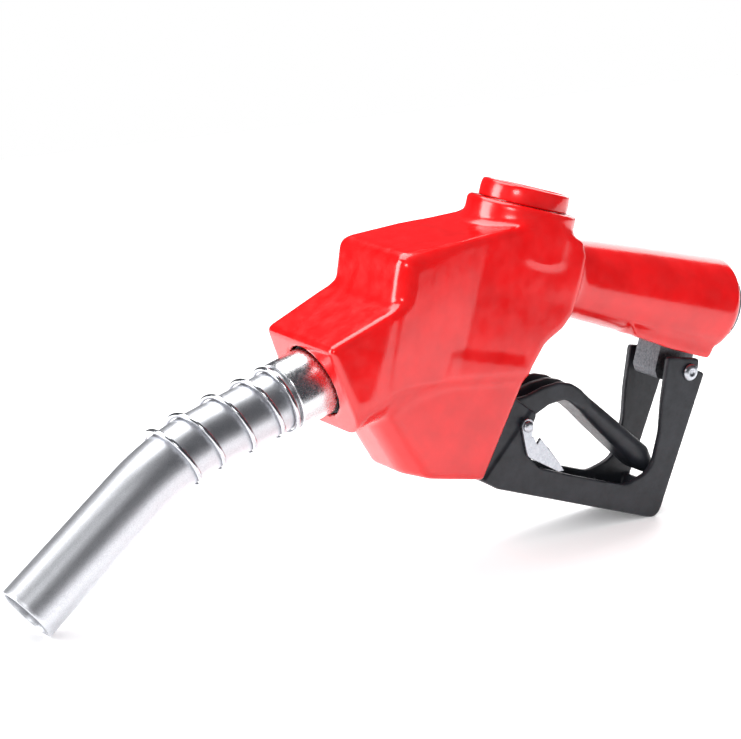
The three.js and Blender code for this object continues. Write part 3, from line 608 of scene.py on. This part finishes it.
def vinyl():
    look = Look("red_vinyl")
    mottle = look.noise(55, detail=3)
    streaks = look.noise(9, (34, 20, 1.6), detail=2)
    look.colour(mottle, (0.60, 0.0006, 0.0012), (0.72, 0.0012, 0.0024))
    look.rough(look.noise(140, detail=5), 0.13, 0.24)
    waves = look.noise(38, detail=2)
    look.bumps((waves, 0.2, 0.0006), (streaks, 0.16, 0.0003), (look.noise(900), 0.06, 0.0001))
    look.shader.inputs["Specular IOR Level"].default_value = 0.8
    return look.material


def nylon():
    look = Look("black_nylon")
    look.colour(look.noise(120), (0.008, 0.0095, 0.0135), (0.017, 0.019, 0.026))
    look.rough(look.noise(600, detail=6), 0.34, 0.5)
    look.bumps((look.noise(2200, detail=3), 0.3, 0.00008), (look.noise(90, detail=2), 0.15, 0.0004))
    return look.material


def sanded_aluminium():
    look = Look("spout_aluminium", 1.0)
    grain = look.noise(2300, detail=3, roughness=0.7)
    look.colour(grain, (0.52, 0.53, 0.56), (0.74, 0.75, 0.78), 0.3, 0.68)
    look.rough(look.noise(1500, detail=4), 0.34, 0.48)
    look.bumps((grain, 0.22, 0.0001), (look.noise(130, detail=3), 0.08, 0.0003))
    return look.material


def metal(name, dark, light, low, high, scale, strength=0.2):
    look = Look(name, 1.0)
    grain = look.noise(scale, detail=5)
    look.colour(grain, dark, light)
    look.rough(grain, low, high)
    look.bumps((grain, strength, 0.00008))
    return look.material


def rubber():
    look = Look("seal_rubber")
    look.colour(look.noise(300), (0.012, 0.012, 0.013), (0.022, 0.022, 0.024))
    look.rough(look.noise(500), 0.6, 0.75)
    look.bumps((look.noise(1500), 0.2, 0.0001))
    return look.material


def fluoropolymer():
    look = Look("fluoropolymer")
    look.colour(look.noise(300), (0.78, 0.78, 0.74), (0.86, 0.86, 0.83))
    look.rough(look.noise(700), 0.35, 0.5)
    look.bumps((look.noise(1800), 0.1, 0.0001))
    return look.material


LOOKS = {
    "red_vinyl": vinyl(),
    "black_nylon": nylon(),
    "spout_tube": sanded_aluminium(),
    "cast_body": metal("cast_aluminium", (0.10, 0.105, 0.115), (0.20, 0.21, 0.225), 0.42, 0.62, 900, 0.6),
    "machined": metal("machined_aluminium", (0.70, 0.71, 0.73), (0.84, 0.85, 0.87), 0.2, 0.34, 700, 0.1),
    "spring_steel": metal("spring_steel", (0.52, 0.53, 0.56), (0.74, 0.75, 0.78), 0.12, 0.26, 1200),
    "zinc_plate": metal("zinc_plate", (0.46, 0.48, 0.52), (0.64, 0.66, 0.70), 0.24, 0.4, 500),
    "brass": metal("brass", (0.62, 0.42, 0.14), (0.76, 0.56, 0.22), 0.2, 0.35, 800),
    "seal_rubber": rubber(),
    "fluoropolymer": fluoropolymer(),
}


def paint(piece, slot):
    piece.data.materials.clear()
    piece.data.materials.append(LOOKS[slot])


for part in frame["record"]["subparts"]:
    paint(NODES[part["node"]], part["material_slot"])

for piece in (cover, cap):
    paint(piece, "red_vinyl")
for piece in (guard, lever):
    paint(piece, "black_nylon")
for piece in (latch, rivet, *latch_rivets):
    paint(piece, "zinc_plate")
paint(spout, "spout_tube")
paint(collar, "machined")
paint(spring, "spring_steel")

# ---- floor, light and camera -------------------------------------------------------------------------------

def floor():
    mesh = bpy.data.meshes.new("floor")
    corners = [(-FLOOR_HALF, FLOOR_FRONT, 0), (FLOOR_HALF, FLOOR_FRONT, 0), (FLOOR_HALF, FLOOR_BACK, 0),
               (-FLOOR_HALF, FLOOR_BACK, 0)]
    mesh.from_pydata(corners, [], [(0, 1, 2, 3)])
    piece = bpy.data.objects.new("floor", mesh)
    bpy.context.scene.collection.objects.link(piece)
    look = Look("pale_floor")
    look.colour(look.noise(4), (0.93, 0.93, 0.94), (0.96, 0.96, 0.97))
    look.rough(look.noise(30), 0.5, 0.6)
    look.shader.inputs["Emission Color"].default_value = (1, 1, 1, 1)
    look.shader.inputs["Emission Strength"].default_value = 0.14
    piece.data.materials.append(look.material)


def area_light(name, place, target, width, height, power, colour=(1, 1, 1)):
    data = bpy.data.lights.new(name, "AREA")
    data.shape = "RECTANGLE"
    data.size = width
    data.size_y = height
    data.energy = power
    data.color = colour
    lamp = bpy.data.objects.new(name, data)
    lamp.location = place
    lamp.rotation_euler = (Vector(target) - Vector(place)).to_track_quat("-Z", "Y").to_euler()
    bpy.context.scene.collection.objects.link(lamp)


def studio_world():
    """White all round, but dim where it shows in the gloss, so that only the lamps and the floor do."""
    world = bpy.data.worlds.new("studio")
    world.use_nodes = True
    tree = world.node_tree
    tree.nodes.clear()
    output = tree.nodes.new("ShaderNodeOutputWorld")
    mix = tree.nodes.new("ShaderNodeMixShader")
    white = tree.nodes.new("ShaderNodeBackground")
    white.inputs["Color"].default_value = (1, 1, 1, 1)
    dim = tree.nodes.new("ShaderNodeBackground")
    dim.inputs["Color"].default_value = (0.07, 0.072, 0.08, 1)
    path = tree.nodes.new("ShaderNodeLightPath")
    tree.links.new(path.outputs["Is Glossy Ray"], mix.inputs["Fac"])
    tree.links.new(white.outputs["Background"], mix.inputs[1])
    tree.links.new(dim.outputs["Background"], mix.inputs[2])
    tree.links.new(mix.outputs["Shader"], output.inputs["Surface"])
    bpy.context.scene.world = world


def camera():
    data = bpy.data.cameras.new("camera")
    data.lens = 141.5
    data.sensor_width = 36
    data.clip_start = 0.01
    viewer = bpy.data.objects.new("camera", data)
    azimuth = math.radians(-33.88)
    elevation = math.radians(14.88)
    target = Vector((-0.0119, 0, 0.0991))
    back = Vector((math.sin(azimuth) * math.cos(elevation), -math.cos(azimuth) * math.cos(elevation),
                   math.sin(elevation)))
    viewer.location = target + back * 1.4
    viewer.rotation_euler = (-back).to_track_quat("-Z", "Y").to_euler()
    bpy.context.scene.collection.objects.link(viewer)
    bpy.context.scene.camera = viewer


floor()
area_light("overhead", (-0.1, 0.35, 0.95), (0, 0, 0.1), 0.9, 0.7, 9)
area_light("left_back", (-1.0, 0.5, 0.45), (0, 0, 0.1), 0.5, 0.8, 10)
area_light("right_back", (0.9, 0.6, 0.5), (0.05, 0, 0.1), 0.5, 0.8, 4)
area_light("front_left", (-1.1, -0.75, 0.8), (0, 0, 0.1), 0.35, 0.35, 4)
studio_world()
camera()
bpy.context.scene.view_settings.view_transform = "Standard"
